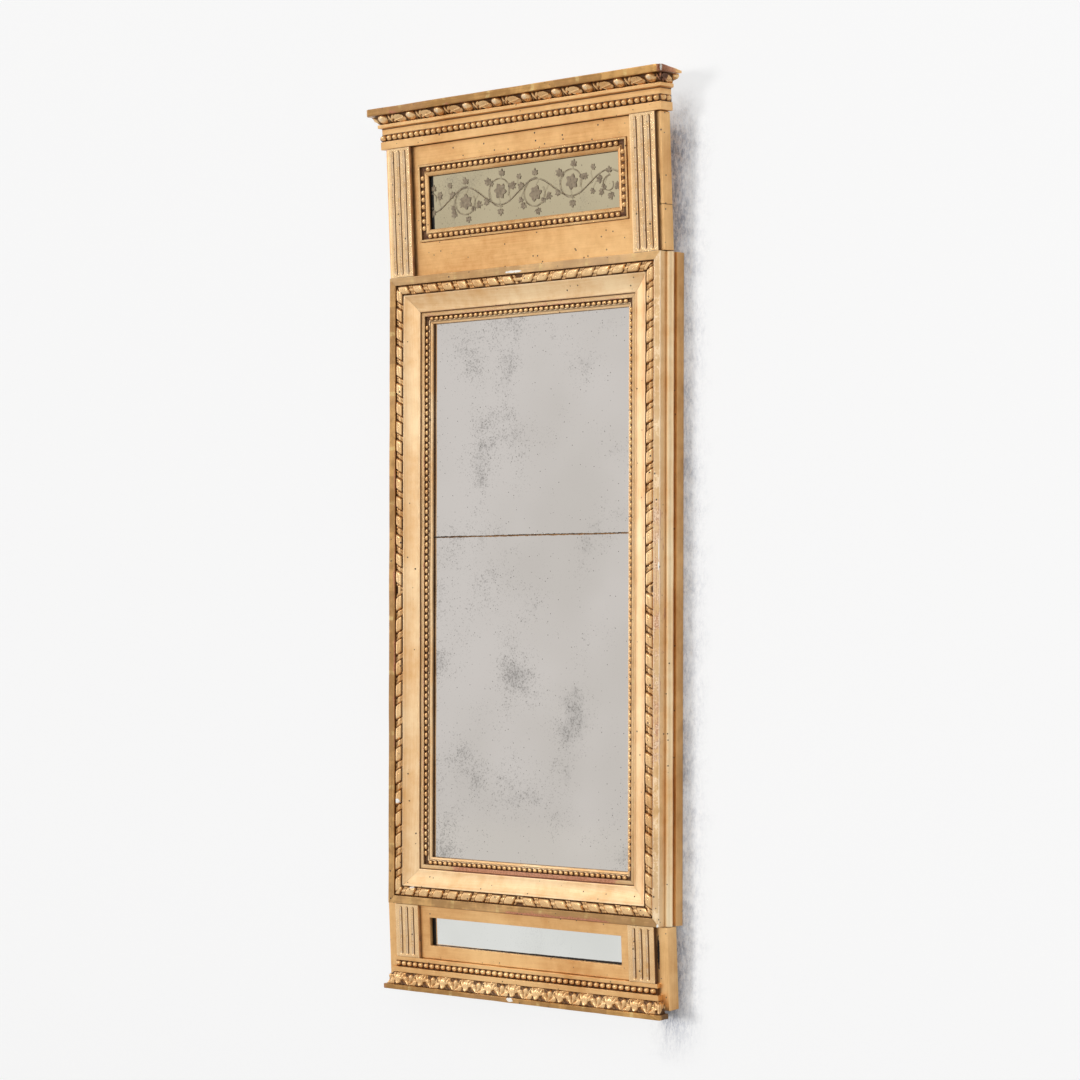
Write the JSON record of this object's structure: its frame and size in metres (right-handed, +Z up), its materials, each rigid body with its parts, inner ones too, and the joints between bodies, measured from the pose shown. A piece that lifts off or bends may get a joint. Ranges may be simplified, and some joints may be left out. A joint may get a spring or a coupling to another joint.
{
  "type": "pier mirror",
  "caption": "Tall wall mirror in a carved gilt frame, with a leaning crest under a cornice, a base with a narrow plate, and a hanging ring at the back.",
  "frame": {"origin": "middle of the top rail's rear face, which bears on the wall", "axes": "+Z up, +Y towards the wall, so the mirror faces -Y, and +X to the right as seen from the front"},
  "size_m": [0.5352, 0.0676, 1.2465],
  "materials": {
    "gilt": "satin",
    "pine": "matte",
    "mirror": "gloss",
    "green_glass": "gloss",
    "iron": "matte"
  },
  "bodies": {
    "mirror": {"moulding_left": "gilt", "ribbon_left": "gilt", "beads_left": "gilt", "moulding_right": "gilt", "ribbon_right": "gilt", "beads_right": "gilt", "moulding_top": "gilt", "ribbon_top": "gilt", "beads_top": "gilt", "moulding_bottom": "gilt", "ribbon_bottom": "gilt", "beads_bottom": "gilt", "side_bead_left": "gilt", "side_bead_right": "gilt", "carcass_left": "pine", "carcass_right": "pine", "carcass_top": "pine", "carcass_middle": "pine", "carcass_bottom": "pine", "backboard_upper": "pine", "backboard_lower": "pine", "mirror_plate_upper": "mirror", "mirror_plate_lower": "mirror", "crest_pilaster_left": "gilt", "crest_pilaster_right": "gilt", "crest_side_left": "gilt", "crest_side_right": "gilt", "crest_slip_right": "gilt", "crest_panel": "gilt", "crest_glass_frame_left": "gilt", "crest_glass_frame_right": "gilt", "crest_glass_frame_top": "gilt", "crest_glass_frame_bottom": "gilt", "crest_glass": "green_glass", "crest_backboard": "pine", "cornice_core": "pine", "architrave": "gilt", "cornice_beads": "gilt", "cornice_fascia": "gilt", "egg_and_leaf": "gilt", "cornice_cover": "gilt", "ring_staple": "iron", "base_pilaster_left": "gilt", "base_pilaster_right": "gilt", "base_side_left": "gilt", "base_side_right": "gilt", "base_panel": "gilt", "base_glass": "mirror", "base_backboard": "pine", "base_core": "pine", "base_band": "gilt", "base_beads": "gilt", "base_fascia": "gilt", "base_leaves": "gilt", "base_foot": "gilt"},
    "ring": {"hanging_ring": "iron"}
  },
  "joints": [
    {"name": "ring_swing", "type": "hinge", "parent": "mirror", "child": "ring", "pos_m": [0, -0.02009, 0.24017], "axis": [1, 0, 0], "range_deg": [-3, 184]}
  ]
}
